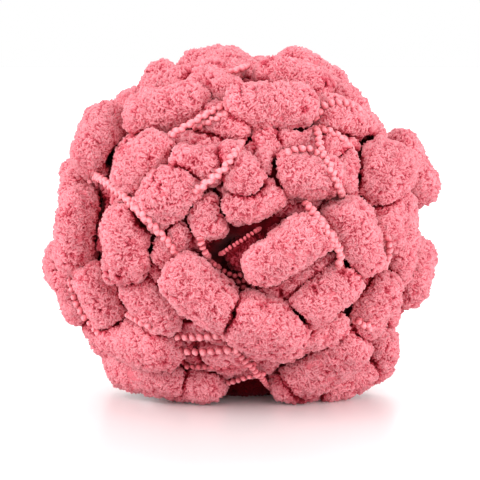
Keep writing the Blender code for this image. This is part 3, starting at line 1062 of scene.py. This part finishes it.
def fibre_material(name, shade_tones, fibre, bump_depth, sheen):
    """Dyed polyester fibre: colours for its painted light and shade, from the shaded roots to the lit
    tips, and the bump of single fibres.
    """
    material = bpy.data.materials.new(name)
    material.use_nodes = True
    tree = material.node_tree
    surface = tree.nodes["Principled BSDF"]
    light = add_node(tree, "ShaderNodeAttribute", attribute_name="lightness")
    place = add_node(tree, "ShaderNodeTexCoord").outputs["Object"]
    # The ramp turns the painted light and shade into colour.
    shade_colour = add_node(tree, "ShaderNodeValToRGB", links=[("Fac", light.outputs["Fac"])])
    ramp = shade_colour.color_ramp
    for element, (position, code) in zip((ramp.elements[0], ramp.elements[1]), (shade_tones[0], shade_tones[-1])):
        element.position, element.color = position, linear(code)
    for position, code in shade_tones[1:-1]:
        ramp.elements.new(position).color = linear(code)
    patchy = add_node(
        tree, "ShaderNodeTexNoise", links=[("Vector", place)], Scale=1 / DYE_PATCH, Detail=2.0)
    strength = add_node(
        tree, "ShaderNodeMapRange", links=[("Value", patchy.outputs["Fac"])],
        **{"From Min": 0.3, "From Max": 0.7, "To Min": 0.93, "To Max": 1.05})
    colour = add_node(
        tree, "ShaderNodeVectorMath", operation="SCALE",
        links=[(0, shade_colour.outputs["Color"]), ("Scale", strength.outputs["Result"])])
    fine = add_node(tree, "ShaderNodeTexNoise", links=[("Vector", place)], Scale=1 / fibre, Detail=2.0)
    strands = add_node(
        tree, "ShaderNodeMapRange", links=[("Value", fine.outputs["Fac"])],
        **{"From Min": 0.35, "From Max": 0.6, "To Min": 0.78, "To Max": 1.06})
    shaded = add_node(
        tree, "ShaderNodeVectorMath", operation="SCALE",
        links=[(0, colour.outputs["Vector"]), ("Scale", strands.outputs["Result"])])
    bump = add_node(
        tree, "ShaderNodeBump", links=[("Height", fine.outputs["Fac"])],
        Strength=1.0, Distance=bump_depth)
    tree.links.new(shaded.outputs["Vector"], surface.inputs["Base Color"])
    tree.links.new(bump.outputs["Normal"], surface.inputs["Normal"])
    surface.inputs["Roughness"].default_value = 0.92
    surface.inputs["IOR"].default_value = 1.5
    surface.inputs["Specular IOR Level"].default_value = 0.05
    surface.inputs["Sheen Weight"].default_value = sheen
    surface.inputs["Sheen Roughness"].default_value = 0.5
    surface.inputs["Sheen Tint"].default_value = linear(SHEEN_TINT)
    return material


def floor_and_light():
    """A plain white glossy floor under even studio light."""
    mesh = bpy.data.meshes.new("studio_floor")
    bm = bmesh.new()
    bmesh.ops.create_grid(bm, x_segments=1, y_segments=1, size=4.0)
    bm.to_mesh(mesh)
    bm.free()
    floor = bpy.data.objects.new("studio_floor", mesh)
    bpy.context.scene.collection.objects.link(floor)
    white = bpy.data.materials.new("white_acrylic_floor")
    white.use_nodes = True
    surface = white.node_tree.nodes["Principled BSDF"]
    surface.inputs["Base Color"].default_value = linear("#F8F8F8")
    surface.inputs["Roughness"].default_value = 0.28
    mesh.materials.append(white)
    world = bpy.data.worlds.new("studio")
    world.use_nodes = True
    world.node_tree.nodes["Background"].inputs["Color"].default_value = (1, 1, 1, 1)
    world.node_tree.nodes["Background"].inputs["Strength"].default_value = 1.0
    bpy.context.scene.world = world
    for name, way, strength, spread in LIGHTS:
        light = bpy.data.lights.new(name, "SUN")
        light.energy = strength
        light.angle = math.radians(spread)
        lamp = bpy.data.objects.new(name, light)
        lamp.rotation_euler = Vector(way).to_track_quat("Z", "Y").to_euler()
        bpy.context.scene.collection.objects.link(lamp)


def photograph_camera():
    """The photograph's view: from the front and a little above."""
    camera = bpy.data.cameras.new("camera")
    camera.sensor_width = 36
    camera.lens = 36 * SIGHT_DISTANCE / (PHOTO_PIXELS * PIXEL_SIZE)
    camera.shift_x = (PHOTO_PIXELS / 2 - BALL_COLUMN) / PHOTO_PIXELS
    camera.shift_y = (BALL_ROW - PHOTO_PIXELS / 2) / PHOTO_PIXELS
    stand = bpy.data.objects.new("camera", camera)
    stand.location = BALL_MIDDLE + SIGHT_TOWARD * SIGHT_DISTANCE
    stand.rotation_euler = Vector(SIGHT_TOWARD).to_track_quat("Z", "Y").to_euler()
    bpy.context.scene.collection.objects.link(stand)
    bpy.context.scene.camera = stand


def grouped(outer, inner):
    """The pompoms by the piece that each is in: the name of each piece, and its pompoms' numbers."""
    groups = {}
    for index, pompom in enumerate(outer + inner):
        x, y, z = (pompom[0] - BALL_MIDDLE) / BALL_RADII
        if index < len(POMPOMS):
            name = f"front_{'upper' if z > 0 else 'lower'}_{'left' if x < 0 else 'right'}_pompoms"
        elif index >= len(outer):
            name = "inner_pompoms"
        elif y > BACK_FROM:
            name = "back_upper_pompoms" if z > 0 else "back_lower_pompoms"
        else:
            name = "left_pompoms" if x < 0 else "right_pompoms"
        groups.setdefault(name, []).append(index)
    return groups


def dress():
    """Makes every piece, gives it its finish, and stands it for the solid."""
    outer, inner = all_pompoms()
    pile = Pile(outer, inner)
    rng = np.random.default_rng(11)
    # Polyester microfibre, cut and brushed: matt and dense, with painted shade that is deep red
    # between its pale locks. The strands are drawn coarser than single fibres, which are too fine to
    # show.
    brushed_pile = fibre_material(
        "brushed_polyester_pile", PILE_SHADE_TONES, fibre=0.55 * MM, bump_depth=0.15 * MM, sheen=0.3)
    # The same fibre knotted into a chain of small firm beads: smoother, with painted shade in the
    # clefts between them.
    chain = fibre_material(
        "knotted_polyester_chain", CHAIN_SHADE_TONES, fibre=0.7 * MM, bump_depth=0.2 * MM, sheen=0.2)
    pieces = {}
    for name, indices in grouped(outer, inner).items():
        coarse = INNER_COARSE if name == "inner_pompoms" else 1.0
        pieces[name] = pompom_piece(name, pile, indices, coarse, rng)
    pieces["wound_core"] = core_piece()
    surface = pile.surface()
    cords = {"front_cord": front_runs(surface, TWISTED_RUNS), "other_cord": other_runs(surface)}
    for name, runs in cords.items():
        pieces[name] = cord_piece(name, [knot for run in runs for knot in twisted(run, rng)])
    pieces["pearl_cord"] = cord_piece("pearl_cord", sunk_pearls(rng) + laid_pearls(surface, rng))
    for name, piece in pieces.items():
        piece.data.materials.append(chain if name.endswith("cord") else brushed_pile)
        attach(piece, "root")
        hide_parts("yarn_ball")


photograph_camera()
floor_and_light()
bpy.context.scene.view_settings.view_transform = "Standard"
dress()

bpy.context.view_layer.update()
